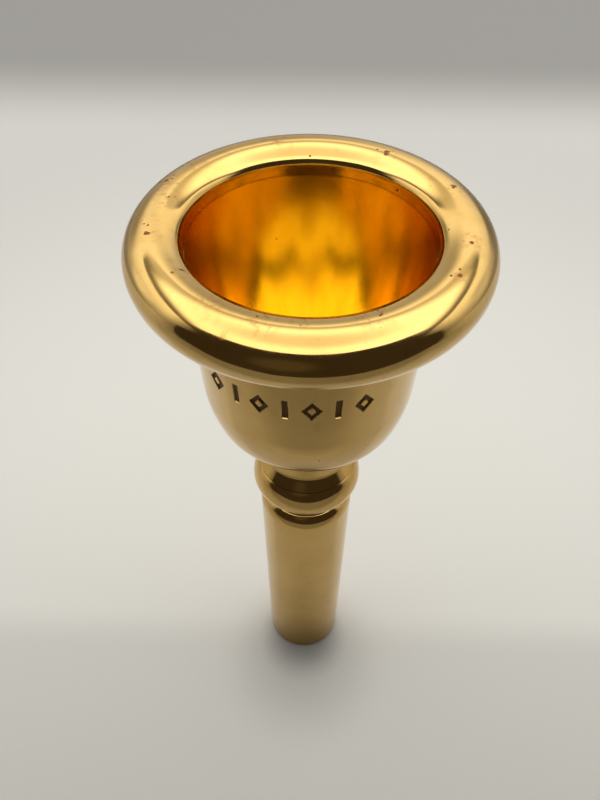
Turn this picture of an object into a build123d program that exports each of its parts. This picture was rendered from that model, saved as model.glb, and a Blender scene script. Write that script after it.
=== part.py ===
from build123d import *
from math import cos, radians, sin
import os

# A tuba-size brass mouthpiece in the three-part (modular) form: a rim that screws onto a cup,
# and a cup that screws onto a shank, with an O-ring at the root of each screwed spigot.
# Millimetres. The origin is the centre of the shank's end face, which the part stands on,
# and +Z runs along the bore to the rim.

# ---- driving dimensions ----------------------------------------------------------------------

# shank: outside
SHANK_END_R = 6.56          # radius of the small end
SHANK_TAPER = 1 / 20        # change of diameter per length, the usual receiver taper
SHANK_TOP_Z = 41.4          # where the taper ends and the shoulder begins
SHOULDER_ARC_R, SHOULDER_ARC = 3.1, 50     # rounded shoulder under the groove
GROOVE_R = 6.3              # floor of the groove between shoulder and bead
BEAD_R, BEAD_Z = 8.7, 48.33     # widest circle of the collar bead
BEAD_UPPER_ARC_R = 5.0
BEAD_LOWER_ARC_R = 3.4
COLLAR_TOP_Z = 51.4         # seam between shank and cup

# bore
THROAT_R = 3.9
THROAT_END_Z = 50.0         # below this the backbore opens
BACKBORE_END_R = 5.4

# cup: outside
NECK_R = 6.4
FLARE_R = 7.64              # foot of the neck, flush with the top of the bead
FLARE_ANGLE = 33            # slope of the foot's cone, degrees from the axis
FLARE_ARC_R = 1.6
NECK_COVE_R = 4.5           # hollow between neck and bowl
BASE_ARC_R = 7.0            # tight corner round the base of the bowl
BELLY_ARC_R = 23.0          # long curve above it
BASE_ANGLE, BELLY_ANGLE = 65, 20    # angles of the surface where those arcs meet, from vertical
WALL_R, WALL_Z = 15.48, 71.83       # lower end of the straight wall
WALL_SLOPE = 0.078          # the wall widens upwards
WALL_TOP_Z = 84.0
RIM_COVE_R = 5.0            # hollow between wall and rim
LIP_R = 19.0                # edge of the shoulder that the rim seats on

# cup: inside
BOWL_MOUTH_R = 16.18
BOWL_WALL_ARC_R, BOWL_WALL_TOP_ANGLE, BOWL_WALL_END_ANGLE = 50.0, 4.9, 28.0
BOWL_FLOOR_ARC_R, BOWL_FLOOR_ANGLE = 14.0, 50.0

# rim
RIM_R, RIM_Z = 24.0, 93.63  # widest circle
RIM_LOWER_ARC_R = 4.6
RIM_OUTER_ARC_R, RIM_OUTER_ARC = 3.62, 69.9     # radius and sweep in degrees of each arc in turn
RIM_CROWN_ARC_R, RIM_CROWN_ARC = 5.0, 53.88
RIM_BITE_ARC_R, RIM_BITE_ARC = 1.85, 56.22
RIM_SEAT_Z = RIM_Z - RIM_LOWER_ARC_R            # flat underside

# screwed joints: pitch, then radii and heights of the spigot, its thread and its socket
SEAT_GAP = 0.02             # metal faces that meet when the joint is tight
THREAD_FIT_R = 0.10         # radial clearance at crest and root
THREAD_FIT_Z = 0.06         # axial clearance on each flank
FLANK_TAN = 0.577           # 60 degree thread form
SUNK = 0.08                 # how far a ridge's section runs into its wall
EDGE = 0.10                 # small chamfer that breaks the turned edges at the seams

RIM_PITCH, RIM_TURNS = 1.0, 2.5
RIM_SPIGOT_R, RIM_THREAD_DEPTH, RIM_ROOT_HALF = 17.3, 0.5, 0.375
RIM_SPIGOT_TOP_Z = 93.95
RIM_THREAD_Z = 90.85        # middle of the ridge where it starts

SHANK_PITCH, SHANK_TURNS = 0.8, 5.3
SHANK_SPIGOT_R, SHANK_THREAD_DEPTH, SHANK_ROOT_HALF = 4.75, 0.4, 0.30
SHANK_SPIGOT_TOP_Z = 57.7
SHANK_THREAD_Z = 53.0

# O-rings: section radius and the counterbore that covers each
RIM_RING_SECTION_R, RIM_RING_R = 0.58, 17.90
RIM_COUNTERBORE_R, RIM_COUNTERBORE_TOP_Z = 18.52, 90.35
SHANK_RING_SECTION_R, SHANK_RING_R = 0.51, 5.30
SHANK_COUNTERBORE_R, SHANK_COUNTERBORE_TOP_Z = 5.85, 52.52

# engraved band: a plain row of lozenges and bars
MARK_Z, MARK_H, MARK_DEPTH = 79.6, 3.5, 0.22
LOZENGE_W, LOZENGE_INNER, BAR_W = 2.7, 0.45, 0.8
MARK_FIRST, MARK_STEP, MARK_COUNT = -48.0, 12.5, 7      # degrees round the cup from the front, -Y


# ---- helpers -----------------------------------------------------------------------------------

def thread_ridge(base_r, crest_r, base_half, crest_half, pitch, start_z, turns):
    """One helical ridge of trapezoid section, whose flanks run on a little way into its wall."""
    sunk_r = base_r - SUNK if crest_r > base_r else base_r + SUNK
    sunk_half = base_half + SUNK * FLANK_TAN
    with BuildPart() as ridge:
        with BuildLine() as path:
            Helix(pitch=pitch, height=pitch * turns, radius=base_r, center=(0, 0, start_z))
        with BuildSketch(Plane.XZ):
            with BuildLine():
                Polyline(
                    (sunk_r, start_z - sunk_half), (crest_r, start_z - crest_half),
                    (crest_r, start_z + crest_half), (sunk_r, start_z + sunk_half), close=True,
                )
            make_face()
        sweep(path=path.line, is_frenet=True)
    return ridge.part


def screw_pair(spigot_r, depth, root_half, pitch, start_z, turns, socket_turns):
    """The ridge of a spigot and the ridge of its socket, in mesh, half a pitch apart."""
    crest_r = spigot_r + depth
    crest_half = root_half - depth * FLANK_TAN
    male = thread_ridge(spigot_r, crest_r, root_half, crest_half, pitch, start_z, turns)
    socket_crest_r = spigot_r + THREAD_FIT_R
    socket_r = crest_r + THREAD_FIT_R
    male_half_there = root_half - THREAD_FIT_R * FLANK_TAN
    socket_crest_half = pitch / 2 - THREAD_FIT_Z - male_half_there
    socket_half = socket_crest_half + depth * FLANK_TAN
    female = thread_ridge(
        socket_r, socket_crest_r, socket_half, socket_crest_half, pitch, start_z + pitch / 2, socket_turns
    )
    return male, female, socket_r


rim_male, rim_female, rim_socket_r = screw_pair(
    RIM_SPIGOT_R, RIM_THREAD_DEPTH, RIM_ROOT_HALF, RIM_PITCH, RIM_THREAD_Z, RIM_TURNS, RIM_TURNS - 0.3
)
shank_male, shank_female, shank_socket_r = screw_pair(
    SHANK_SPIGOT_R, SHANK_THREAD_DEPTH, SHANK_ROOT_HALF, SHANK_PITCH, SHANK_THREAD_Z, SHANK_TURNS,
    SHANK_TURNS - 0.4,
)


# ---- shank: taper, shoulder, groove, collar bead, spigot and backbore ----------------------------

shank_top_r = SHANK_END_R + SHANK_TOP_Z * SHANK_TAPER / 2
bead_under = (
    BEAD_R - BEAD_LOWER_ARC_R + BEAD_LOWER_ARC_R * cos(radians(73)),
    BEAD_Z - BEAD_LOWER_ARC_R * sin(radians(73)),
)

with BuildPart() as shank:
    with BuildSketch(Plane.XZ):
        with BuildLine():
            end_face = Line((BACKBORE_END_R, 0), (SHANK_END_R - 0.3, 0))
            end_edge = Line(end_face @ 1, (SHANK_END_R + 0.3 * SHANK_TAPER / 2, 0.3))
            taper = Line(end_edge @ 1, (shank_top_r, SHANK_TOP_Z))
            shoulder = JernArc(start=taper @ 1, tangent=taper % 1, radius=SHOULDER_ARC_R, arc_size=SHOULDER_ARC)
            groove = Polyline(shoulder @ 1, (GROOVE_R, (shoulder @ 1).Y + 0.1), bead_under)
            under = CenterArc((BEAD_R - BEAD_LOWER_ARC_R, BEAD_Z), BEAD_LOWER_ARC_R, -73, 73)
            over = CenterArc((BEAD_R - BEAD_UPPER_ARC_R, BEAD_Z), BEAD_UPPER_ARC_R, 0, 36.5)
            Polyline(
                over @ 1,
                ((over @ 1).X - EDGE, COLLAR_TOP_Z),
                (SHANK_SPIGOT_R, COLLAR_TOP_Z),
                (SHANK_SPIGOT_R, SHANK_SPIGOT_TOP_Z - 0.15),
                (SHANK_SPIGOT_R - 0.15, SHANK_SPIGOT_TOP_Z),
                (THROAT_R, SHANK_SPIGOT_TOP_Z),
                (THROAT_R, THROAT_END_Z),
                end_face @ 0,
            )
        make_face()
    revolve(axis=Axis.Z)
    add(shank_male)
shank.part.label = "shank"


# ---- cup: neck, bowl and the spigot for the rim ---------------------------------------------------

cup_foot_z = COLLAR_TOP_Z + SEAT_GAP
cup_seat_z = RIM_SEAT_Z - SEAT_GAP
wall_tilt = (WALL_SLOPE, 1)
wall_top_r = WALL_R + WALL_SLOPE * (WALL_TOP_Z - WALL_Z)
wall_angle = 4.46           # degrees, the angle of WALL_SLOPE

with BuildPart() as cup:
    with BuildSketch(Plane.XZ):
        with BuildLine():
            # outside, from the top of the straight wall down to the foot of the neck
            wall = Line((wall_top_r, WALL_TOP_Z), (WALL_R, WALL_Z))
            belly = JernArc(
                start=wall @ 1, tangent=wall % 1, radius=BELLY_ARC_R, arc_size=wall_angle - BELLY_ANGLE
            )
            base = JernArc(
                start=belly @ 1, tangent=belly % 1, radius=BASE_ARC_R, arc_size=BELLY_ANGLE - BASE_ANGLE
            )
            cove_width = NECK_COVE_R * (1 - cos(radians(BASE_ANGLE)))
            run = ((base @ 1).X - NECK_R - cove_width) / sin(radians(BASE_ANGLE))
            slope = Line(base @ 1, (base @ 1) + (base % 1) * run)
            cove = JernArc(start=slope @ 1, tangent=slope % 1, radius=NECK_COVE_R, arc_size=BASE_ANGLE)
            flare_width = FLARE_ARC_R * (1 - cos(radians(FLARE_ANGLE)))
            cone_height = (FLARE_R - NECK_R - flare_width) * cos(radians(FLARE_ANGLE)) / sin(radians(FLARE_ANGLE))
            flare_top_z = cup_foot_z + cone_height + FLARE_ARC_R * sin(radians(FLARE_ANGLE))
            neck = Line(cove @ 1, (NECK_R, flare_top_z))
            flare = JernArc(start=neck @ 1, tangent=(0, -1), radius=FLARE_ARC_R, arc_size=FLARE_ANGLE)
            foot = Polyline(
                flare @ 1,
                (FLARE_R - EDGE * 0.65, cup_foot_z + EDGE),
                (FLARE_R - EDGE * 1.2, cup_foot_z),
                (SHANK_COUNTERBORE_R, cup_foot_z),
                (SHANK_COUNTERBORE_R, SHANK_COUNTERBORE_TOP_Z),
                (shank_socket_r, SHANK_COUNTERBORE_TOP_Z),
                (shank_socket_r, SHANK_SPIGOT_TOP_Z + 0.05),
                (THROAT_R, SHANK_SPIGOT_TOP_Z + 0.05),
            )
            # outside, from the same place up to the rim's seat and over the spigot
            rim_cove = JernArc(
                start=wall @ 0, tangent=wall_tilt, radius=RIM_COVE_R, arc_size=-55
            )
            seat = Polyline(
                rim_cove @ 1,
                (LIP_R, (rim_cove @ 1).Y + 0.1),
                (LIP_R, cup_seat_z - EDGE),
                (LIP_R - EDGE, cup_seat_z),
                (RIM_SPIGOT_R, cup_seat_z),
                (RIM_SPIGOT_R, RIM_SPIGOT_TOP_Z - 0.15),
                (RIM_SPIGOT_R - 0.15, RIM_SPIGOT_TOP_Z),
                (BOWL_MOUTH_R, RIM_SPIGOT_TOP_Z),
            )
            # inside of the bowl, from its mouth down to the throat
            top_tangent = (-sin(radians(BOWL_WALL_TOP_ANGLE)), -cos(radians(BOWL_WALL_TOP_ANGLE)))
            bowl_wall = JernArc(
                start=seat @ 1, tangent=top_tangent, radius=BOWL_WALL_ARC_R,
                arc_size=BOWL_WALL_TOP_ANGLE - BOWL_WALL_END_ANGLE,
            )
            bowl_floor = JernArc(
                start=bowl_wall @ 1, tangent=bowl_wall % 1, radius=BOWL_FLOOR_ARC_R,
                arc_size=BOWL_WALL_END_ANGLE - BOWL_FLOOR_ANGLE,
            )
            entry_r = ((bowl_floor @ 1).X - THROAT_R) / (1 - cos(radians(BOWL_FLOOR_ANGLE)))
            entry = JernArc(
                start=bowl_floor @ 1, tangent=bowl_floor % 1, radius=entry_r, arc_size=BOWL_FLOOR_ANGLE
            )
            Line(entry @ 1, foot @ 1)
        make_face()
    revolve(axis=Axis.Z)
    add(rim_male)
    add(shank_female)

    # engraved band
    mark_r = WALL_R + WALL_SLOPE * (MARK_Z - WALL_Z)
    tilt = radians(wall_angle)
    mark_planes = []
    for i in range(MARK_COUNT):
        around = radians(MARK_FIRST + i * MARK_STEP)
        outward = Vector(sin(around) * cos(tilt), -cos(around) * cos(tilt), -sin(tilt))
        middle = Vector(mark_r * sin(around), -mark_r * cos(around), MARK_Z) - outward * MARK_DEPTH
        sideways = Vector(cos(around), sin(around), 0)
        mark_planes.append(Plane(origin=middle, x_dir=sideways, z_dir=outward))
    with BuildSketch(*mark_planes[0::2]):
        with BuildLine():
            Polyline((-LOZENGE_W / 2, 0), (0, -MARK_H / 2), (LOZENGE_W / 2, 0), (0, MARK_H / 2), close=True)
        make_face()
        with BuildLine():
            Polyline(
                (-LOZENGE_W * LOZENGE_INNER / 2, 0), (0, -MARK_H * LOZENGE_INNER / 2),
                (LOZENGE_W * LOZENGE_INNER / 2, 0), (0, MARK_H * LOZENGE_INNER / 2), close=True,
            )
        make_face(mode=Mode.SUBTRACT)
    extrude(amount=1.0, mode=Mode.SUBTRACT)
    with BuildSketch(*mark_planes[1::2]):
        Rectangle(BAR_W, MARK_H)
    extrude(amount=1.0, mode=Mode.SUBTRACT)
cup.part.label = "cup"


# ---- rim: rounded ring with the bite at its inner edge and the screwed recess below ----------------

with BuildPart() as rim:
    with BuildSketch(Plane.XZ):
        with BuildLine():
            underside = Line((RIM_COUNTERBORE_R + EDGE, RIM_SEAT_Z), (RIM_R - RIM_LOWER_ARC_R, RIM_SEAT_Z))
            lower = JernArc(start=underside @ 1, tangent=(1, 0), radius=RIM_LOWER_ARC_R, arc_size=90)
            outer = JernArc(start=lower @ 1, tangent=(0, 1), radius=RIM_OUTER_ARC_R, arc_size=RIM_OUTER_ARC)
            crown = JernArc(start=outer @ 1, tangent=outer % 1, radius=RIM_CROWN_ARC_R, arc_size=RIM_CROWN_ARC)
            bite = JernArc(start=crown @ 1, tangent=crown % 1, radius=RIM_BITE_ARC_R, arc_size=RIM_BITE_ARC)
            Polyline(
                bite @ 1,
                (BOWL_MOUTH_R + 0.01, RIM_SPIGOT_TOP_Z + 0.05),
                (rim_socket_r, RIM_SPIGOT_TOP_Z + 0.05),
                (rim_socket_r, RIM_COUNTERBORE_TOP_Z),
                (RIM_COUNTERBORE_R, RIM_COUNTERBORE_TOP_Z),
                (RIM_COUNTERBORE_R, RIM_SEAT_Z + EDGE),
                underside @ 0,
            )
        make_face()
    revolve(axis=Axis.Z)
    add(rim_female)
rim.part.label = "rim"


# ---- O-rings, one round each spigot's root ----------------------------------------------------------

with BuildPart() as rim_o_ring:
    with BuildSketch(Plane.XZ):
        with Locations((RIM_RING_R, cup_seat_z + RIM_RING_SECTION_R + 0.02)):
            Circle(RIM_RING_SECTION_R)
    revolve(axis=Axis.Z)
rim_o_ring.part.label = "rim_o_ring"

with BuildPart() as shank_o_ring:
    with BuildSketch(Plane.XZ):
        with Locations((SHANK_RING_R, COLLAR_TOP_Z + SHANK_RING_SECTION_R + 0.02)):
            Circle(SHANK_RING_SECTION_R)
    revolve(axis=Axis.Z)
shank_o_ring.part.label = "shank_o_ring"


# ---- output -----------------------------------------------------------------------------------------

os.makedirs("parts", exist_ok=True)
export_step(rim.part, "parts/rim.step")
export_step(rim_o_ring.part, "parts/rim_o_ring.step")
export_step(cup.part, "parts/cup.step")
export_step(shank_o_ring.part, "parts/shank_o_ring.step")
export_step(shank.part, "parts/shank.step")
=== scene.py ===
"""Looks for the brass mouthpiece: polished gold plating, pale table, soft studio light."""

import math

import bpy
import numpy as np
from mathutils import Matrix


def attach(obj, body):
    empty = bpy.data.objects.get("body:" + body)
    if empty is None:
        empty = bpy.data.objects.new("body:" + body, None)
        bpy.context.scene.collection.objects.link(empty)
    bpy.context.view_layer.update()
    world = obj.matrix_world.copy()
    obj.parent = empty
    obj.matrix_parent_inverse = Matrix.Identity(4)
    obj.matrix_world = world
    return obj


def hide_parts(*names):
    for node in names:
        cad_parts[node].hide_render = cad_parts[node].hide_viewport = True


MM = 0.001

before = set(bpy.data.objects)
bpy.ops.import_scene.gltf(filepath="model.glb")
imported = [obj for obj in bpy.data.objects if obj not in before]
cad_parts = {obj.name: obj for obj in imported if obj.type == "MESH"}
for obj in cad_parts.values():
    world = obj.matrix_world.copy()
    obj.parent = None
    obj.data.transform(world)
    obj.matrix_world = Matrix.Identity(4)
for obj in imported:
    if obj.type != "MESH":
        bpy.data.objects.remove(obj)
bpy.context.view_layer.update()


# ---- camera ------------------------------------------------------------------------------------

CAMERA_BACK, CAMERA_UP = 91.12, 161.22      # millimetres in front of the bore and above the table
CAMERA_PITCH, CAMERA_YAW, CAMERA_ROLL = 46.62, -0.743, 0.547    # degrees
CAMERA_LENS = 39.24         # on Blender's 36 mm sensor


def add_camera():
    pitch, yaw, roll = (math.radians(a) for a in (CAMERA_PITCH, CAMERA_YAW, CAMERA_ROLL))
    forward = np.array([math.sin(yaw) * math.cos(pitch), math.cos(yaw) * math.cos(pitch), -math.sin(pitch)])
    level = np.array([math.cos(yaw), -math.sin(yaw), 0.0])
    upright = np.cross(level, forward)
    right = math.cos(roll) * level + math.sin(roll) * upright
    up = math.cos(roll) * upright - math.sin(roll) * level
    camera = bpy.data.objects.new("camera", bpy.data.cameras.new("camera"))
    camera.data.lens = CAMERA_LENS
    camera.data.clip_start = 0.005
    turn = Matrix((right, up, -forward)).transposed().to_4x4()
    camera.matrix_world = Matrix.Translation((0, -CAMERA_BACK * MM, CAMERA_UP * MM)) @ turn
    bpy.context.collection.objects.link(camera)
    bpy.context.scene.camera = camera


add_camera()


# ---- outlines: sections of the turned parts, in millimetres ------------------------------------

class Outline:
    """A section drawn with straight runs and tangent arcs, as (radius, height) points."""

    def __init__(self, r, z, heading=0.0):
        self.points = [(r, z)]
        self.heading = heading      # degrees, 0 outwards, 90 upwards

    def to(self, r, z, steps=1):
        r0, z0 = self.points[-1]
        self.heading = math.degrees(math.atan2(z - z0, r - r0))
        for i in range(1, steps + 1):
            self.points.append((r0 + (r - r0) * i / steps, z0 + (z - z0) * i / steps))
        return self

    def ahead(self, length, steps=1):
        r0, z0 = self.points[-1]
        h = math.radians(self.heading)
        return self.to(r0 + length * math.cos(h), z0 + length * math.sin(h), steps)

    def face(self, heading):
        self.heading = heading
        return self

    def arc(self, radius, sweep, step=2.5):
        """Turns left for a positive sweep and right for a negative one."""
        side = 1 if sweep > 0 else -1
        r0, z0 = self.points[-1]
        h = math.radians(self.heading)
        centre = (r0 - side * radius * math.sin(h), z0 + side * radius * math.cos(h))
        count = max(2, round(abs(sweep) / step))
        for i in range(1, count + 1):
            a = h + math.radians(sweep) * i / count
            self.points.append((
                centre[0] + side * radius * math.sin(a), centre[1] - side * radius * math.cos(a)
            ))
        self.heading += sweep
        return self


# driving sizes, the same as the CAD's
SHANK_END_R, SHANK_TAPER, SHANK_TOP_Z = 6.56, 1 / 20, 41.4
SHOULDER_ARC_R, SHOULDER_ARC = 3.1, 50
GROOVE_R = 6.3
BEAD_R, BEAD_Z = 8.7, 48.33
BEAD_UPPER_ARC_R, BEAD_UPPER_ARC = 5.0, 36.5
BEAD_LOWER_ARC_R, BEAD_LOWER_ARC = 3.4, 73
COLLAR_TOP_Z = 51.4
THROAT_R, THROAT_END_Z, BACKBORE_END_R = 3.9, 50.0, 5.4
NECK_R, FLARE_R, FLARE_ANGLE, FLARE_ARC_R = 6.4, 7.64, 33.0, 1.6
NECK_COVE_R, BASE_ARC_R, BELLY_ARC_R = 4.5, 7.0, 23.0
BASE_ANGLE, BELLY_ANGLE, WALL_ANGLE = 65.0, 20.0, 4.46
WALL_R, WALL_Z, WALL_SLOPE, WALL_TOP_Z = 15.48, 71.83, 0.078, 84.0
RIM_COVE_R, RIM_COVE_ARC, LIP_R = 5.0, 55, 19.0
BOWL_MOUTH_R = 16.18
BOWL_WALL_ARC_R, BOWL_WALL_TOP_ANGLE, BOWL_WALL_END_ANGLE = 50.0, 4.9, 28.0
BOWL_FLOOR_ARC_R, BOWL_FLOOR_ANGLE = 14.0, 50.0
RIM_R, RIM_Z, RIM_LOWER_ARC_R = 24.0, 93.63, 4.6
RIM_OUTER_ARC_R, RIM_OUTER_ARC = 3.62, 69.9     # radius and sweep in degrees of each arc in turn
RIM_CROWN_ARC_R, RIM_CROWN_ARC = 5.0, 53.88
RIM_BITE_ARC_R, RIM_BITE_ARC = 1.85, 56.22
RIM_SEAT_Z = RIM_Z - RIM_LOWER_ARC_R
GAP = 0.02                  # between metal faces that meet
EDGE, SPIGOT_EDGE, SHANK_END_EDGE = 0.10, 0.15, 0.3     # chamfers at the seams and at the open ends
MOUTH_STEP, SPIGOT_CLEAR = 0.01, 0.05       # round the bowl's mouth, and beyond the end of a spigot
RIM_SPIGOT_R, RIM_SPIGOT_TOP_Z, RIM_SOCKET_R, RIM_PITCH = 17.3, 93.95, 17.9, 1.0
RIM_COUNTERBORE_R, RIM_COUNTERBORE_TOP_Z = 18.52, 90.35
RIM_RING_R, RIM_RING_SECTION_R = 17.90, 0.58
SHANK_SPIGOT_R, SHANK_SPIGOT_TOP_Z, SHANK_SOCKET_R, SHANK_PITCH = 4.75, 57.7, 5.25, 0.8
SHANK_COUNTERBORE_R, SHANK_COUNTERBORE_TOP_Z = 5.85, 52.52
SHANK_RING_R, SHANK_RING_SECTION_R = 5.30, 0.51


def rim_outline():
    o = Outline(RIM_COUNTERBORE_R + EDGE, RIM_SEAT_Z)
    o.to(RIM_R - RIM_LOWER_ARC_R, RIM_SEAT_Z).face(0)
    o.arc(RIM_LOWER_ARC_R, 90).arc(RIM_OUTER_ARC_R, RIM_OUTER_ARC)
    o.arc(RIM_CROWN_ARC_R, RIM_CROWN_ARC).arc(RIM_BITE_ARC_R, RIM_BITE_ARC, 3.0)
    o.to(BOWL_MOUTH_R + MOUTH_STEP, RIM_SPIGOT_TOP_Z + SPIGOT_CLEAR, 3)
    o.to(RIM_SOCKET_R, RIM_SPIGOT_TOP_Z + SPIGOT_CLEAR).to(RIM_SOCKET_R, RIM_COUNTERBORE_TOP_Z)
    o.to(RIM_COUNTERBORE_R, RIM_COUNTERBORE_TOP_Z).to(RIM_COUNTERBORE_R, RIM_SEAT_Z + EDGE)
    return o.points


def bowl_outline():
    """The inside of the bowl, from its mouth down to the throat."""
    o = Outline(BOWL_MOUTH_R, RIM_SPIGOT_TOP_Z).face(-90 - BOWL_WALL_TOP_ANGLE)
    o.arc(BOWL_WALL_ARC_R, BOWL_WALL_TOP_ANGLE - BOWL_WALL_END_ANGLE, 0.5)
    o.arc(BOWL_FLOOR_ARC_R, BOWL_WALL_END_ANGLE - BOWL_FLOOR_ANGLE, 1.5)
    entry_r = (o.points[-1][0] - THROAT_R) / (1 - math.cos(math.radians(BOWL_FLOOR_ANGLE)))
    return o.arc(entry_r, BOWL_FLOOR_ANGLE, 2.5).points


def cup_outline():
    foot_z, seat_z = COLLAR_TOP_Z + GAP, RIM_SEAT_Z - GAP
    top_r = WALL_R + WALL_SLOPE * (WALL_TOP_Z - WALL_Z)
    # outside, up from the base of the bowl: drawn downwards first, then turned round
    down = Outline(top_r, WALL_TOP_Z).to(WALL_R, WALL_Z, 60)
    down.arc(BELLY_ARC_R, WALL_ANGLE - BELLY_ANGLE, 0.8).arc(BASE_ARC_R, BELLY_ANGLE - BASE_ANGLE)
    base = math.radians(BASE_ANGLE)
    cove_width = NECK_COVE_R * (1 - math.cos(base))
    down.ahead((down.points[-1][0] - NECK_R - cove_width) / math.sin(base), 3)
    down.arc(NECK_COVE_R, BASE_ANGLE)
    flare = math.radians(FLARE_ANGLE)
    cone = (FLARE_R - NECK_R - FLARE_ARC_R * (1 - math.cos(flare))) / math.tan(flare)
    down.to(NECK_R, foot_z + cone + FLARE_ARC_R * math.sin(flare), 4).face(-90)
    down.arc(FLARE_ARC_R, FLARE_ANGLE, 4)
    down.to(FLARE_R - EDGE * 0.65, foot_z + EDGE, 4).to(FLARE_R - EDGE * 1.2, foot_z)
    down.to(SHANK_COUNTERBORE_R, foot_z).to(SHANK_COUNTERBORE_R, SHANK_COUNTERBORE_TOP_Z)
    down.to(SHANK_SOCKET_R, SHANK_COUNTERBORE_TOP_Z).to(SHANK_SOCKET_R, SHANK_SPIGOT_TOP_Z + SPIGOT_CLEAR)
    down.to(THROAT_R, SHANK_SPIGOT_TOP_Z + SPIGOT_CLEAR)
    # up to the seat and the spigot, then down the inside of the bowl
    up = Outline(top_r, WALL_TOP_Z).face(90 - WALL_ANGLE).arc(RIM_COVE_R, -RIM_COVE_ARC)
    up.to(LIP_R, up.points[-1][1] + 0.1).to(LIP_R, seat_z - EDGE).to(LIP_R - EDGE, seat_z)
    up.to(RIM_SPIGOT_R, seat_z).to(RIM_SPIGOT_R, RIM_SPIGOT_TOP_Z - SPIGOT_EDGE)
    up.to(RIM_SPIGOT_R - SPIGOT_EDGE, RIM_SPIGOT_TOP_Z).to(BOWL_MOUTH_R, RIM_SPIGOT_TOP_Z)
    return list(reversed(down.points[:-1])) + up.points[1:-1] + bowl_outline() + [down.points[-1]]


def shank_outline():
    o = Outline(BACKBORE_END_R, 0).to(SHANK_END_R - SHANK_END_EDGE, 0)
    o.to(SHANK_END_R + SHANK_END_EDGE * SHANK_TAPER / 2, SHANK_END_EDGE)
    o.to(SHANK_END_R + SHANK_TOP_Z * SHANK_TAPER / 2, SHANK_TOP_Z, 40)
    o.arc(SHOULDER_ARC_R, SHOULDER_ARC)
    o.to(GROOVE_R, o.points[-1][1] + 0.1)
    low, radius = math.radians(BEAD_LOWER_ARC), BEAD_LOWER_ARC_R
    o.to(BEAD_R - radius + radius * math.cos(low), BEAD_Z - radius * math.sin(low), 3)
    o.face(90 - BEAD_LOWER_ARC).arc(radius, BEAD_LOWER_ARC).arc(BEAD_UPPER_ARC_R, BEAD_UPPER_ARC)
    o.to(o.points[-1][0] - EDGE, COLLAR_TOP_Z).to(SHANK_SPIGOT_R, COLLAR_TOP_Z)
    o.to(SHANK_SPIGOT_R, SHANK_SPIGOT_TOP_Z - SPIGOT_EDGE)
    o.to(SHANK_SPIGOT_R - SPIGOT_EDGE, SHANK_SPIGOT_TOP_Z)
    o.to(THROAT_R, SHANK_SPIGOT_TOP_Z).to(THROAT_R, THROAT_END_Z)
    return o.points


# ---- meshes --------------------------------------------------------------------------------------

def new_object(name, vertices, faces, material):
    mesh = bpy.data.meshes.new(name)
    mesh.from_pydata([tuple(v) for v in vertices], [], faces)
    mesh.polygons.foreach_set("use_smooth", [True] * len(mesh.polygons))
    mesh.set_sharp_from_angle(angle=math.radians(28))
    mesh.materials.append(material)
    obj = bpy.data.objects.new(name, mesh)
    bpy.context.collection.objects.link(obj)
    return obj


def turn_section(section, angles, sink=None):
    """Vertices and faces of a closed section turned round the bore.

    sink(angle, r, z) gives how far a point is pressed inwards, in millimetres.
    """
    rings, count = len(angles), len(section)
    vertices = np.zeros((rings, count, 3))
    for i, a in enumerate(angles):
        for j, (r, z) in enumerate(section):
            depth = sink(a, r, z) if sink else 0.0
            vertices[i, j] = ((r - depth) * math.sin(a), -(r - depth) * math.cos(a), z)
    faces = []
    for i in range(rings):
        for j in range(count):
            k, m = (i + 1) % rings, (j + 1) % count
            faces.append((i * count + j, k * count + j, k * count + m, i * count + m))
    return vertices.reshape(-1, 3) * MM, faces


def paint(obj, name, values):
    """Gives a mesh a number at each vertex, for its material to read."""
    obj.data.attributes.new(name, "FLOAT", "POINT").data.foreach_set("value", values)


def even_angles(count):
    return [2 * math.pi * i / count for i in range(count)]


def lozenge_depth(x, y, half_w, half_h):
    """Signed distance, in millimetres, from (x, y) to the edge of a lozenge: negative inside."""
    return (abs(x) / half_w + abs(y) / half_h - 1) * half_w * half_h / math.hypot(half_w, half_h)


# engraved band: a plain row of lozenges and bars
MARK_Z, MARK_H, MARK_DEPTH = 79.6, 3.5, 0.22
LOZENGE_W, LOZENGE_INNER, BAR_W = 2.7, 0.45, 0.8
MARK_FIRST, MARK_STEP, MARK_COUNT = -48.0, 12.5, 7
MARK_EDGE = 0.10            # width of the sloping side of a mark
MARK_RUN = 0.07             # length of a facet of the wall across the band
MARK_MARGIN = 0.2           # no mark reaches further than this above or below the band
MARK_REACH = 80             # nor further than this round from the front, in degrees
BAND_MARGIN, BAND_TURN = 0.3, 7         # how far the fine facets go on beyond the band, in mm and degrees
FINE_COLUMNS, COARSE_COLUMNS = 420, 190
OUTSIDE = 1.0               # points this far inside the wall are on the inside face
ON_BOWL = 0.05              # points nearer than this to the bowl's outline are on it


def engraving(angle, r, z):
    """How far the outer face of the cup is pressed in by the engraved band."""
    wall = WALL_R + WALL_SLOPE * (z - WALL_Z)
    degrees = (math.degrees(angle) + 180) % 360 - 180
    if abs(z - MARK_Z) > MARK_H / 2 + MARK_MARGIN or r < wall - OUTSIDE or abs(degrees) > MARK_REACH:
        return 0.0
    i = round((degrees - MARK_FIRST) / MARK_STEP)
    if not 0 <= i < MARK_COUNT:
        return 0.0
    x = math.radians(degrees - MARK_FIRST - i * MARK_STEP) * wall
    y = z - MARK_Z
    if i % 2:
        edge = max(abs(x) - BAR_W / 2, abs(y) - MARK_H / 2)
    else:
        outer = lozenge_depth(x, y, LOZENGE_W / 2, MARK_H / 2)
        inner = lozenge_depth(x, y, LOZENGE_W * LOZENGE_INNER / 2, MARK_H * LOZENGE_INNER / 2)
        edge = max(outer, -inner)
    t = min(1.0, max(0.0, 0.5 - edge / MARK_EDGE))
    return MARK_DEPTH * t * t * (3 - 2 * t)


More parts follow.
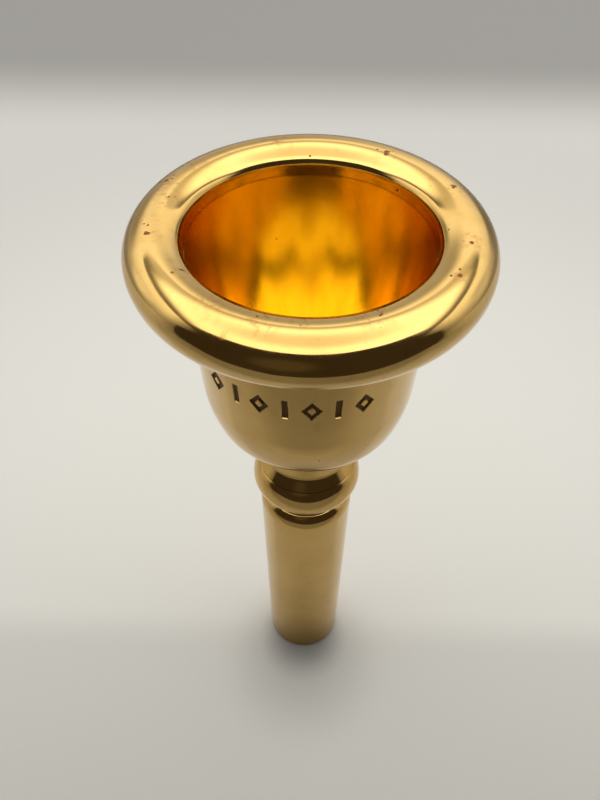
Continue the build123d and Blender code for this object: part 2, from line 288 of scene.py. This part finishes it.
BOWL_HEIGHTS, BOWL_RADII = zip(*sorted((z, r) for r, z in bowl_outline()))


def on_bowl(r, z):
    """Whether a point of the cup's section is on the inside of the bowl."""
    bowl_r = np.interp(z, BOWL_HEIGHTS, BOWL_RADII)
    return BOWL_HEIGHTS[0] <= z < BOWL_HEIGHTS[-1] and abs(r - bowl_r) < ON_BOWL


def cup_angles():
    """Close together over the engraved band, wider apart elsewhere."""
    first = math.radians(MARK_FIRST - BAND_TURN)
    last = math.radians(MARK_FIRST + MARK_STEP * (MARK_COUNT - 1) + BAND_TURN)
    rest = 2 * math.pi - last + first
    fine = [first + (last - first) * i / FINE_COLUMNS for i in range(FINE_COLUMNS)]
    coarse = [last + rest * i / COARSE_COLUMNS for i in range(COARSE_COLUMNS)]
    return fine + coarse


def refine_band(section):
    """Adds points along the outer wall where the engraved band crosses it."""
    low, high = MARK_Z - MARK_H / 2 - BAND_MARGIN, MARK_Z + MARK_H / 2 + BAND_MARGIN
    out = []
    for (r0, z0), (r1, z1) in zip(section, section[1:] + section[:1]):
        out.append((r0, z0))
        outer = min(r0, r1) > WALL_R + WALL_SLOPE * (z0 - WALL_Z) - OUTSIDE
        straight = WALL_Z < z0 < WALL_TOP_Z and WALL_Z < z1 <= WALL_TOP_Z
        if outer and straight and max(z0, z1) > low and min(z0, z1) < high:
            steps = max(1, round(abs(z1 - z0) / MARK_RUN))
            out += [(r0 + (r1 - r0) * k / steps, z0 + (z1 - z0) * k / steps) for k in range(1, steps)]
    return out


THREAD_SUNK, THREAD_SPREAD = 0.08, 0.046    # how far the flanks run on into the wall, and spread there
THREAD_STEPS = 96           # facets in a turn


def thread_ridge(name, base_r, crest_r, base_half, crest_half, pitch, start_z, turns, material):
    """A helical ridge, whose flanks run on a little way into its wall."""
    sunk = THREAD_SUNK if crest_r > base_r else -THREAD_SUNK
    section = (
        (base_r - sunk, -base_half - THREAD_SPREAD), (crest_r, -crest_half), (crest_r, crest_half),
        (base_r - sunk, base_half + THREAD_SPREAD),
    )
    steps = round(turns * THREAD_STEPS)
    vertices, faces = [], []
    for i in range(steps + 1):
        a = 2 * math.pi * turns * i / steps
        for r, dz in section:
            z = start_z + pitch * turns * i / steps + dz
            vertices.append((r * math.cos(a) * MM, r * math.sin(a) * MM, z * MM))
    flip = crest_r < base_r
    for i in range(steps):
        for j in range(4):
            a, b = 4 * i + j, 4 * i + (j + 1) % 4
            face = (a, b, b + 4, a + 4)
            faces.append(tuple(reversed(face)) if flip else face)
    ends = [(3, 2, 1, 0), tuple(4 * steps + j for j in range(4))]
    faces += [tuple(reversed(e)) for e in ends] if flip else ends
    return new_object(name, vertices, faces, material)


def o_ring(name, ring_r, section_r, z, material):
    outline = Outline(ring_r + section_r, z).face(90).arc(section_r, 360, 12)
    vertices, faces = turn_section(outline.points[:-1], even_angles(160))
    return new_object(name, vertices, faces, material)


# ---- materials -------------------------------------------------------------------------------------

def node_material(name):
    material = bpy.data.materials.new(name)
    material.use_nodes = True
    nodes, links = material.node_tree.nodes, material.node_tree.links
    shader = nodes["Principled BSDF"]
    return material, nodes, links, shader


def map_range(nodes, links, source, low, high, to_low=0.0, to_high=1.0):
    """A smooth step from to_low to to_high as the socket goes from low to high."""
    step = nodes.new("ShaderNodeMapRange")
    step.interpolation_type = "SMOOTHSTEP"
    links.new(source, step.inputs["Value"])
    step.inputs["From Min"].default_value = low
    step.inputs["From Max"].default_value = high
    step.inputs["To Min"].default_value = to_low
    step.inputs["To Max"].default_value = to_high
    return step.outputs["Result"]


def put(links, value, socket):
    """Links a socket, or sets a constant."""
    if isinstance(value, bpy.types.NodeSocket):
        links.new(value, socket)
    elif isinstance(value, tuple):
        socket.default_value = (*value, 1)
    else:
        socket.default_value = value


def maths(nodes, links, operation, *values):
    node = nodes.new("ShaderNodeMath")
    node.operation = operation
    for value, socket in zip(values, node.inputs):
        put(links, value, socket)
    return node.outputs[0]


def mix_colour(nodes, links, amount, first, second):
    mix = nodes.new("ShaderNodeMix")
    mix.data_type = "RGBA"
    put(links, amount, mix.inputs["Factor"])
    put(links, first, mix.inputs["A"])
    put(links, second, mix.inputs["B"])
    return mix.outputs["Result"]


# tarnish spots on the rim: azimuth in degrees from the front, radius and half spread in millimetres
SPOT_GROUPS = (
    (-80, 19.9, 1.6), (-89, 20.3, 1.6), (-104, 19.8, 2.6), (-115, 20.6, 2.0), (-129, 20.3, 2.0),
    (-165, 20.6, 2.4), (-57, 18.6, 1.3), (-36, 19.6, 1.8), (-25, 22.6, 1.0), (-16, 19.6, 2.4),
    (-3, 18.8, 1.5), (21, 18.6, 2.6), (60, 20.0, 1.5), (80, 19.8, 1.8), (112, 20.5, 1.8), (148, 19.6, 2.2),
)
SPOT_HEIGHT = 96.6


def spot_mask(nodes, links, place):
    """One near each group of spots, nought elsewhere. place is in millimetres."""
    total = None
    for azimuth, radius, spread in SPOT_GROUPS:
        a = math.radians(azimuth)
        away = nodes.new("ShaderNodeVectorMath")
        away.operation = "DISTANCE"
        links.new(place, away.inputs[0])
        away.inputs[1].default_value = (radius * math.sin(a), -radius * math.cos(a), SPOT_HEIGHT)
        near = map_range(nodes, links, away.outputs["Value"], spread * 0.5, spread * 1.3, 1.0, 0.0)
        total = maths(nodes, links, "MAXIMUM", total, near) if total else near
    return total


def noise(nodes, links, place, scale, detail=2.0, roughness=0.5, kind="3D"):
    """place is a position, or one number where kind is 1D. scale is per unit of place."""
    node = nodes.new("ShaderNodeTexNoise")
    node.noise_dimensions = kind
    links.new(place, node.inputs["W" if kind == "1D" else "Vector"])
    node.inputs["Scale"].default_value = scale
    node.inputs["Detail"].default_value = detail
    node.inputs["Roughness"].default_value = roughness
    return node.outputs["Fac"]


def specks(nodes, links, place, scale, smallest, largest, where):
    """Spots of several sizes, one at most in each cell, where the mask lets them."""
    cells = nodes.new("ShaderNodeTexVoronoi")
    cells.inputs["Scale"].default_value = scale
    wobble = nodes.new("ShaderNodeTexNoise")
    wobble.inputs["Scale"].default_value = 2.2
    links.new(place, wobble.inputs["Vector"])
    shifted = nodes.new("ShaderNodeVectorMath")
    shifted.operation = "MULTIPLY_ADD"
    links.new(wobble.outputs["Color"], shifted.inputs[0])
    shifted.inputs[1].default_value = (0.45, 0.45, 0.45)
    links.new(place, shifted.inputs[2])
    links.new(shifted.outputs[0], cells.inputs["Vector"])
    pick = nodes.new("ShaderNodeSeparateColor")
    links.new(cells.outputs["Color"], pick.inputs[0])
    size = maths(nodes, links, "POWER", pick.outputs[0], 2.0)
    size = maths(nodes, links, "MULTIPLY_ADD", size, largest - smallest, smallest)
    size = maths(nodes, links, "MULTIPLY", size, where)
    inside = maths(nodes, links, "SUBTRACT", size, cells.outputs["Distance"])
    return map_range(nodes, links, inside, 0.0, 0.05)


GOLD_CLEAR, GOLD_CLOUD, GOLD_MOTTLE = (0.60, 0.395, 0.131), (0.545, 0.345, 0.106), (0.48, 0.275, 0.082)
# the bowl's colours are painted light: a brighter, more orange glow than the plate outside, and painted
# reflection streaks
BOWL_GLOW, BOWL_REFLECTION_STREAK = (0.81, 0.525, 0.05), (0.72, 0.45, 0.035)
STAIN_BROWN, SPOT_BROWN, FILL_BROWN = (0.42, 0.20, 0.06), (0.13, 0.045, 0.018), (0.085, 0.036, 0.012)


def gold():
    """Polished gold plate: uneven in colour and polish, turning lines, tarnish, filled engraving, and a
    painted glow with painted reflection streaks inside the bowl.
    """
    material, nodes, links, shader = node_material("gold_plate")
    shader.inputs["Metallic"].default_value = 1.0
    place = nodes.new("ShaderNodeTexCoord")
    scaled = nodes.new("ShaderNodeVectorMath")
    scaled.operation = "SCALE"
    scaled.inputs["Scale"].default_value = 1000.0
    links.new(place.outputs["Object"], scaled.inputs[0])
    mm = scaled.outputs[0]
    split = nodes.new("ShaderNodeSeparateXYZ")
    links.new(mm, split.inputs[0])
    x, y, z = split.outputs
    radius = maths(nodes, links, "SQRT", maths(nodes, links, "ADD", maths(nodes, links, "MULTIPLY", x, x),
                                               maths(nodes, links, "MULTIPLY", y, y)))
    bowl = nodes.new("ShaderNodeAttribute")
    bowl.attribute_name = "bowl"
    mark = nodes.new("ShaderNodeAttribute")
    mark.attribute_name = "mark"
    bowl, mark = bowl.outputs["Fac"], mark.outputs["Fac"]

    # colour, with noise scales per millimetre
    clouds = map_range(nodes, links, noise(nodes, links, mm, 0.11, 3.0), 0.35, 0.70)
    colour = mix_colour(nodes, links, clouds, GOLD_CLEAR, GOLD_CLOUD)
    mottle = map_range(nodes, links, noise(nodes, links, mm, 0.55, 4.0, 0.6), 0.56, 0.74, 0.0, 0.5)
    colour = mix_colour(nodes, links, mottle, colour, GOLD_MOTTLE)
    # painted light inside the bowl: a glow colour for light bouncing round in it, with painted reflection
    # streaks up its wall; only the bowl's greater roughness below is its real satin finish
    around = nodes.new("ShaderNodeCombineXYZ")
    links.new(maths(nodes, links, "DIVIDE", x, radius), around.inputs[0])
    links.new(maths(nodes, links, "DIVIDE", y, radius), around.inputs[1])
    links.new(maths(nodes, links, "MULTIPLY", z, 0.035), around.inputs[2])
    reflection_streaks = map_range(nodes, links, noise(nodes, links, around.outputs[0], 4.0, 3.0), 0.35, 0.65)
    bowl_glow_colour = mix_colour(nodes, links, reflection_streaks, BOWL_GLOW, BOWL_REFLECTION_STREAK)
    colour = mix_colour(nodes, links, bowl, colour, bowl_glow_colour)

    # tarnish
    groups = spot_mask(nodes, links, mm)
    spots = specks(nodes, links, mm, 0.95, 0.08, 0.50, groups)
    stains = map_range(nodes, links, noise(nodes, links, mm, 1.3, 3.0), 0.48, 0.66, 0.0, 0.55)
    stains = maths(nodes, links, "MULTIPLY", stains, groups)
    thin = map_range(nodes, links, noise(nodes, links, mm, 0.16, 2.0), 0.55, 0.66)
    pits = specks(nodes, links, mm, 0.50, 0.02, 0.16, thin)
    dirt = maths(nodes, links, "MAXIMUM", spots, pits)
    colour = mix_colour(nodes, links, stains, colour, STAIN_BROWN)
    colour = mix_colour(nodes, links, maths(nodes, links, "MULTIPLY", dirt, 0.88), colour, SPOT_BROWN)
    colour = mix_colour(nodes, links, maths(nodes, links, "MULTIPLY", mark, 0.92), colour, FILL_BROWN)
    links.new(colour, shader.inputs["Base Color"])

    # polish
    rough = map_range(nodes, links, noise(nodes, links, mm, 0.22, 4.0, 0.6), 0.35, 0.75, 0.075, 0.135)
    rough = maths(nodes, links, "MULTIPLY_ADD", bowl, 0.07, rough)
    rough = maths(nodes, links, "MULTIPLY_ADD", stains, 0.12, rough)
    rough = maths(nodes, links, "MULTIPLY_ADD", dirt, 0.35, rough)
    rough = maths(nodes, links, "MULTIPLY_ADD", mark, 0.40, rough)
    links.new(rough, shader.inputs["Roughness"])

    # relief, in millimetres: turning lines, hand polishing, and pits
    along = maths(nodes, links, "MULTIPLY_ADD", radius, 0.8, z)
    lines = noise(nodes, links, along, 3.2, 2.0, 0.6, "1D")
    waves = noise(nodes, links, mm, 0.13, 1.0)
    grain = noise(nodes, links, mm, 5.0, 2.0)
    height = maths(nodes, links, "MULTIPLY", lines, 0.0011)
    height = maths(nodes, links, "MULTIPLY_ADD", waves, 0.045, height)
    height = maths(nodes, links, "MULTIPLY_ADD", grain, 0.0005, height)
    height = maths(nodes, links, "MULTIPLY_ADD", dirt, -0.012, height)
    height = maths(nodes, links, "MULTIPLY_ADD", maths(nodes, links, "MULTIPLY", mark, grain), 0.03, height)
    bump = nodes.new("ShaderNodeBump")
    bump.inputs["Strength"].default_value = 1.0
    bump.inputs["Distance"].default_value = MM
    links.new(height, bump.inputs["Height"])
    links.new(bump.outputs["Normal"], shader.inputs["Normal"])
    return material


def rubber():
    """Black nitrile rubber with a faint bloom and moulding grain."""
    material, nodes, links, shader = node_material("seal_rubber")
    place = nodes.new("ShaderNodeTexCoord").outputs["Object"]
    bloom = map_range(nodes, links, noise(nodes, links, place, 700.0, 4.0), 0.40, 0.75)
    colour = mix_colour(nodes, links, bloom, (0.012, 0.012, 0.013), (0.030, 0.029, 0.028))
    links.new(colour, shader.inputs["Base Color"])
    links.new(map_range(nodes, links, bloom, 0.0, 1.0, 0.38, 0.60), shader.inputs["Roughness"])
    bump = nodes.new("ShaderNodeBump")
    bump.inputs["Strength"].default_value = 0.6
    bump.inputs["Distance"].default_value = 0.01 * MM
    links.new(noise(nodes, links, place, 4000.0, 3.0), bump.inputs["Height"])
    links.new(bump.outputs["Normal"], shader.inputs["Normal"])
    return material


gold_plate = gold()
seal_rubber = rubber()


# ---- pieces ----------------------------------------------------------------------------------------

def add_piece(obj, body, slot, *nodes):
    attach(obj, body)
    if nodes:
        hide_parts(*nodes)


vertices, faces = turn_section(rim_outline(), even_angles(320))
add_piece(new_object("turned_rim", vertices, faces, gold_plate), "rim", "gold_plate", "rim")
section, angles = refine_band(cup_outline()), cup_angles()
vertices, faces = turn_section(section, angles, engraving)
cup = new_object("turned_cup", vertices, faces, gold_plate)
paint(cup, "mark", [engraving(a, r, z) / MARK_DEPTH for a in angles for r, z in section])
paint(cup, "bowl", [float(on_bowl(r, z)) for r, z in section] * len(angles))
add_piece(cup, "cup", "gold_plate", "cup")
vertices, faces = turn_section(shank_outline(), even_angles(256))
add_piece(new_object("turned_shank", vertices, faces, gold_plate), "shank", "gold_plate", "shank")

# name, body, radius at root and crest, half width at root and crest, pitch, starting height, turns
THREADS = (
    ("rim_spigot_thread", "cup", RIM_SPIGOT_R, 17.8, 0.375, 0.0865, RIM_PITCH, 90.85, 2.5),
    ("rim_socket_thread", "rim", RIM_SOCKET_R, 17.4, 0.411, 0.1227, RIM_PITCH, 91.35, 2.2),
    ("shank_spigot_thread", "shank", SHANK_SPIGOT_R, 5.15, 0.30, 0.069, SHANK_PITCH, 53.0, 5.3),
    ("cup_socket_thread", "cup", SHANK_SOCKET_R, 4.85, 0.328, 0.0977, SHANK_PITCH, 53.4, 4.9),
)
for name, body, *sizes in THREADS:
    add_piece(thread_ridge(name, *sizes, gold_plate), body, "gold_plate")

RING_LIFT = 0.02            # each O-ring lies this far above its seat
# name, body, CAD node, radius of the ring and of its section, height of its seat
O_RINGS = (
    ("rim_seal_ring", "rim_seal", "rim_o_ring", RIM_RING_R, RIM_RING_SECTION_R, RIM_SEAT_Z - GAP),
    ("shank_seal_ring", "shank_seal", "shank_o_ring", SHANK_RING_R, SHANK_RING_SECTION_R, COLLAR_TOP_Z),
)
for name, body, node, ring_r, section_r, seat_z in O_RINGS:
    ring = o_ring(name, ring_r, section_r, seat_z + section_r + RING_LIFT, seal_rubber)
    add_piece(ring, body, "seal_rubber", node)


# ---- table and light ---------------------------------------------------------------------------------

TABLE_END = 0.22            # metres behind the bore, where the table stops and a darker floor is seen
TABLE_END_SOFT = 0.03       # half the width of that edge
# painted light: the table's colour is brightest round the bore and darkens away from it, a painted falloff
# of the light, not a change in the table itself
TABLE_BRIGHT, TABLE_FAR_SHADE, FLOOR_BEHIND = (0.545, 0.541, 0.525), (0.41, 0.4075, 0.398), (0.215, 0.211, 0.207)
FALLOFF_FROM, FALLOFF_TO = 0.03, 0.20     # metres from the bore, over which the table turns dull

# shade on the table in front of the foot: centre y, half width, half depth (metres), strength, firm part
CLOSE_SHADE = (-0.005, 0.0095, 0.0100, 0.54, 0.2)
WIDE_SHADE = (-0.010, 0.018, 0.020, 0.27, 0.1)
FRONT_SHADE = 0.86          # of the whole table in front of the foot
FRONT_FULL, FRONT_NONE = -0.008, 0.002      # y between which it fades


def contact_shade(nodes, links, place, centre_y, half_width, half_depth, strength, firm):
    """One on the open table, less inside an oval where the foot keeps the light off it."""
    oval = nodes.new("ShaderNodeVectorMath")
    oval.operation = "MULTIPLY_ADD"
    links.new(place, oval.inputs[0])
    oval.inputs[1].default_value = (1 / half_width, 1 / half_depth, 0)
    oval.inputs[2].default_value = (0, -centre_y / half_depth, 0)
    away = nodes.new("ShaderNodeVectorMath")
    away.operation = "LENGTH"
    links.new(oval.outputs[0], away.inputs[0])
    return map_range(nodes, links, away.outputs["Value"], firm, 1.0, 1 - strength, 1.0)


def table():
    """A pale table with painted light, brightest round the piece and darker away from it, painted shade in
    front of the foot, and a darker floor beyond its far edge.
    """
    size = 3.0      # half side, in metres
    material, nodes, links, shader = node_material("table_top")
    shader.inputs["Roughness"].default_value = 0.8
    shader.inputs["Specular IOR Level"].default_value = 0.2
    place = nodes.new("ShaderNodeTexCoord").outputs["Object"]
    split = nodes.new("ShaderNodeSeparateXYZ")
    links.new(place, split.inputs[0])
    y = split.outputs["Y"]
    away = nodes.new("ShaderNodeVectorMath")
    away.operation = "LENGTH"
    links.new(place, away.inputs[0])
    # painted shade: the table's colour darkens with distance from the bore
    light_falloff = map_range(nodes, links, away.outputs["Value"], FALLOFF_FROM, FALLOFF_TO)
    past = map_range(nodes, links, y, TABLE_END - TABLE_END_SOFT, TABLE_END + TABLE_END_SOFT)
    top = mix_colour(nodes, links, light_falloff, TABLE_BRIGHT, TABLE_FAR_SHADE)
    front = map_range(nodes, links, y, FRONT_FULL, FRONT_NONE, FRONT_SHADE, 1.0)
    close = contact_shade(nodes, links, place, *CLOSE_SHADE)
    wide = contact_shade(nodes, links, place, *WIDE_SHADE)
    shade = maths(nodes, links, "MULTIPLY", maths(nodes, links, "MULTIPLY", close, wide), front)
    shaded = nodes.new("ShaderNodeVectorMath")
    shaded.operation = "SCALE"
    links.new(top, shaded.inputs[0])
    links.new(shade, shaded.inputs["Scale"])
    whole = mix_colour(nodes, links, past, shaded.outputs[0], FLOOR_BEHIND)
    links.new(whole, shader.inputs["Base Color"])
    corners = [(-size, -size, 0), (size, -size, 0), (size, size, 0), (-size, size, 0)]
    new_object("table_top", corners, [(0, 1, 2, 3)], material)


def glow_material(name, colour):
    """A material that only gives off light."""
    material = bpy.data.materials.new(name)
    material.use_nodes = True
    nodes, links = material.node_tree.nodes, material.node_tree.links
    nodes.remove(nodes["Principled BSDF"])
    glow = nodes.new("ShaderNodeEmission")
    glow.inputs["Color"].default_value = (*colour, 1)
    links.new(glow.outputs[0], nodes["Material Output"].inputs["Surface"])
    return material, nodes, links, glow


def show_through(nodes, links, glow, cover):
    """Lets the glow cover what lies behind it only as far as the socket cover says."""
    clear = nodes.new("ShaderNodeBsdfTransparent")
    blend = nodes.new("ShaderNodeMixShader")
    links.new(cover, blend.inputs["Fac"])
    links.new(clear.outputs[0], blend.inputs[1])
    links.new(glow.outputs[0], blend.inputs[2])
    links.new(blend.outputs[0], nodes["Material Output"].inputs["Surface"])


def studio_card(name, centre, across, upwards, material):
    """A flat panel, given by its centre and half sides, that reflections see and no camera does."""
    card = new_object(name, [(-1, -1, 0), (1, -1, 0), (1, 1, 0), (-1, 1, 0)], [(0, 1, 2, 3)], material)
    square = np.cross(across, upwards)
    square = square / np.linalg.norm(square)
    card.matrix_world = Matrix.Translation(centre) @ Matrix((across, upwards, square)).transposed().to_4x4()
    card.visible_camera = False
    return card


def soft_card(name, centre, across, upwards, colour, firm):
    """An oval card that fades to nothing at its edge. firm is the share that doesn't fade."""
    material, nodes, links, glow = glow_material(name, colour)
    place = nodes.new("ShaderNodeTexCoord")
    away = nodes.new("ShaderNodeVectorMath")
    away.operation = "LENGTH"
    links.new(place.outputs["Object"], away.inputs[0])
    show_through(nodes, links, glow, map_range(nodes, links, away.outputs["Value"], firm, 1.0, 1.0, 0.0))
    return studio_card(name, centre, across, upwards, material)


CARD_DISTANCE, CARD_EYE = 0.7, 0.095        # of the cards round the piece: from the bore, and level height
# name, azimuth (0 in front), elevation, half width and half height in degrees, colour, firm share
SIDE_CARDS = (
    ("side_light_left", -108, 14, 16, 16, (1.35, 1.32, 1.25), 0.3),
    ("side_light_right", 112, 14, 16, 16, (0.95, 0.93, 0.88), 0.3),
    ("back_wall", -174, 18, 22, 25, (0.66, 0.645, 0.60), 0.25),
    ("dark_corner_left", -146, 9, 20, 20, (0.45, 0.44, 0.40), 0.25),
    ("dark_corner_right", 145, 2, 17, 16, (0.28, 0.27, 0.25), 0.25),
)


def upright_card(name, azimuth, elevation, half_width, half_height, colour, firm):
    """A soft card that faces the piece from one side."""
    a, e = math.radians(azimuth), math.radians(elevation)
    outward = np.array([math.sin(a), -math.cos(a), 0.0])
    centre = outward * CARD_DISTANCE + np.array([0, 0, CARD_EYE + CARD_DISTANCE * math.tan(e)])
    across = np.array([math.cos(a), math.sin(a), 0.0]) * CARD_DISTANCE * math.tan(math.radians(half_width))
    upwards = np.array([0, 0, CARD_DISTANCE * math.tan(math.radians(half_height))])
    soft_card(name, centre, across, upwards, colour, firm)


CEILING_Z = 0.60
# corners of the ceiling light, from back left, anticlockwise as seen from above
CEILING = ((-0.44, 0.50), (-0.90, -0.70), (1.04, -0.70), (0.42, 0.56))
FRAME_WIDTH, FRAME_EDGE = 0.07, 0.03        # of the light's dark frame, and its soft outer edge
CEILING_SOFT = 0.20         # width over which the light fades out towards its frame
CORNER_SOFT = 0.05          # rounding of the light's corners
DULL_R, BRIGHT_R = 0.08, 0.33               # its dull middle, and where it is bright again
CEILING_DULL, CEILING_BRIGHT = (1.72, 1.66, 1.48), (2.80, 2.76, 2.62)
FRAME_SIDE, FRAME_BACK = (0.30, 0.29, 0.25), (1.05, 1.02, 0.92)        # colours of the frame
FRAME_BACK_HALF = 0.22      # half width of the paler part of the frame, at the back


def soft_ceiling():
    """A large ceiling light, a little duller in the middle, with a dark frame and a soft outer edge."""
    reach = 1.3     # half side of the card, which its object coordinates are measured in
    material, nodes, links, glow = glow_material("soft_ceiling", (1, 1, 1))
    place = nodes.new("ShaderNodeTexCoord")
    inside = None
    for (x0, y0), (x1, y1) in zip(CEILING, CEILING[1:] + CEILING[:1]):
        length = math.hypot(x1 - x0, y1 - y0)
        normal = (-(y1 - y0) / length, (x1 - x0) / length, 0.0)      # into the light
        dot = nodes.new("ShaderNodeVectorMath")
        dot.operation = "DOT_PRODUCT"
        dot.inputs[1].default_value = [reach * n for n in normal]
        links.new(place.outputs["Object"], dot.inputs[0])
        away = maths(nodes, links, "SUBTRACT", dot.outputs["Value"], normal[0] * x0 + normal[1] * y0)
        inside = maths(nodes, links, "SMOOTH_MIN", inside, away, CORNER_SOFT) if inside else away
    middle = nodes.new("ShaderNodeVectorMath")
    middle.operation = "LENGTH"
    links.new(place.outputs["Object"], middle.inputs[0])
    ring = map_range(nodes, links, middle.outputs["Value"], DULL_R / reach, BRIGHT_R / reach)
    light = mix_colour(nodes, links, ring, CEILING_DULL, CEILING_BRIGHT)
    lit = map_range(nodes, links, inside, 0.0, CEILING_SOFT)
    split = nodes.new("ShaderNodeSeparateXYZ")
    links.new(place.outputs["Object"], split.inputs[0])
    aside = map_range(nodes, links, maths(nodes, links, "ABSOLUTE", split.outputs["X"]),
                      FRAME_BACK_HALF / reach, 2 * FRAME_BACK_HALF / reach)
    frame_colour = mix_colour(nodes, links, aside, FRAME_BACK, FRAME_SIDE)
    colour = mix_colour(nodes, links, lit, frame_colour, light)
    links.new(colour, glow.inputs["Color"])
    cover = map_range(nodes, links, inside, -FRAME_WIDTH - FRAME_EDGE, -FRAME_WIDTH)
    show_through(nodes, links, glow, cover)
    studio_card("soft_ceiling", (0, 0, CEILING_Z), (reach, 0, 0), (0, reach, 0), material)


SCREEN_R = 0.30             # of the dark shape in front, about the bore
SCREEN_HIGH, SCREEN_LOW = 0.394, 0.26       # its height in the middle and at its ends
SCREEN_HALF, SCREEN_FADE = 88, 62           # where it ends, and where it starts to fade, in degrees
SCREEN_DARK = (0.060, 0.048, 0.036)


def dark_screen():
    """A dark screen curved round the front, as tall as a person leaning over, fading at its ends."""
    count = 40
    vertices, faces = [], []
    for i in range(count + 1):
        share = 2 * i / count - 1
        a = math.radians(share * SCREEN_HALF)
        top = SCREEN_HIGH - (SCREEN_HIGH - SCREEN_LOW) * share ** 4
        x, y = SCREEN_R * math.sin(a), -SCREEN_R * math.cos(a)
        vertices += [(x, y, 0.0), (x, y, top)]
    for i in range(count):
        faces.append((2 * i, 2 * i + 2, 2 * i + 3, 2 * i + 1))
    material, nodes, links, glow = glow_material("dark_screen", SCREEN_DARK)
    place = nodes.new("ShaderNodeTexCoord")
    split = nodes.new("ShaderNodeSeparateXYZ")
    links.new(place.outputs["Object"], split.inputs[0])
    faint, firm = (-SCREEN_R * math.cos(math.radians(a)) for a in (SCREEN_HALF, SCREEN_FADE))
    show_through(nodes, links, glow, map_range(nodes, links, split.outputs["Y"], firm, faint, 1.0, 0.0))
    screen = new_object("dark_screen", vertices, faces, material)
    screen.visible_camera = False


# a sheet of painted shade lying on the table below the screen, a flag just behind the lens, and a hand's
# brown shape in front of it
SHADE_SHEET_Y, SHADE_SHEET_Z, SHADE_SHEET_HALF_WIDTH, SHADE_SHEET_HALF_DEPTH = -0.175, 0.0005, 0.30, 0.14
FLAG_Y, FLAG_LOW, FLAG_HIGH, FLAG_HALF_WIDTH = -0.097, 0.028, 0.175, 0.34
HAND_X, HAND_Y, HAND_Z, HAND_HALF_WIDTH, HAND_HALF_HEIGHT = -0.022, FLAG_Y + 0.001, 0.098, 0.040, 0.042
SHADE_SHEET_GREY, FLAG_DARK, HAND_BROWN = (0.30, 0.29, 0.265), (0.058, 0.046, 0.034), (0.11, 0.09, 0.06)


def dark_shapes():
    """What the metal reflects low in front, besides the screen."""
    # painted shade: a grey card on the table in front, hidden from every camera, so that the metal reflects
    # a shaded table there
    centre = (0, SHADE_SHEET_Y, SHADE_SHEET_Z)
    shade_sheet = soft_card("painted_floor_shade", centre, (SHADE_SHEET_HALF_WIDTH, 0, 0), (0, SHADE_SHEET_HALF_DEPTH, 0), SHADE_SHEET_GREY, 0.75)
    shade_sheet.visible_diffuse = False     # it keeps no light off the table
    centre, half_height = (0, FLAG_Y, (FLAG_LOW + FLAG_HIGH) / 2), (FLAG_HIGH - FLAG_LOW) / 2
    flag = glow_material("dark_flag", FLAG_DARK)[0]
    studio_card("dark_flag", centre, (FLAG_HALF_WIDTH, 0, 0), (0, 0, half_height), flag)
    centre = (HAND_X, HAND_Y, HAND_Z)
    soft_card("brown_panel", centre, (HAND_HALF_WIDTH, 0, 0), (0, 0, HAND_HALF_HEIGHT), HAND_BROWN, 0.3)


# sine of the height above the horizon, and the room's brightness there; below the horizon it is as at 0
ROOM_STOPS = ((0.0, 0.55), (0.17, 0.80), (0.34, 1.35), (0.50, 1.70), (0.66, 1.85), (1.0, 1.85))
ROOM_WARMTH = (1.0, 0.98, 0.93)


def room():
    """A bright room, a large soft ceiling light, and the dark shape of whoever stands in front."""
    world = bpy.data.worlds.new("room")
    bpy.context.scene.world = world
    world.use_nodes = True
    nodes, links = world.node_tree.nodes, world.node_tree.links
    place = nodes.new("ShaderNodeTexCoord")
    split = nodes.new("ShaderNodeSeparateXYZ")
    height = nodes.new("ShaderNodeValToRGB")
    links.new(place.outputs["Generated"], split.inputs[0])
    links.new(split.outputs["Z"], height.inputs["Fac"])
    links.new(height.outputs["Color"], nodes["Background"].inputs["Color"])
    elements = height.color_ramp.elements
    for position, value in ROOM_STOPS[1:-1]:
        elements.new(position)
    for element, (position, value) in zip(elements, ROOM_STOPS):
        element.position = position
        element.color = (*(value * w for w in ROOM_WARMTH), 1)

    soft_ceiling()
    for card in SIDE_CARDS:
        upright_card(*card)
    dark_screen()
    dark_shapes()


table()
room()
bpy.context.scene.view_settings.view_transform = "Standard"
bpy.context.scene.cycles.glossy_bounces = 12
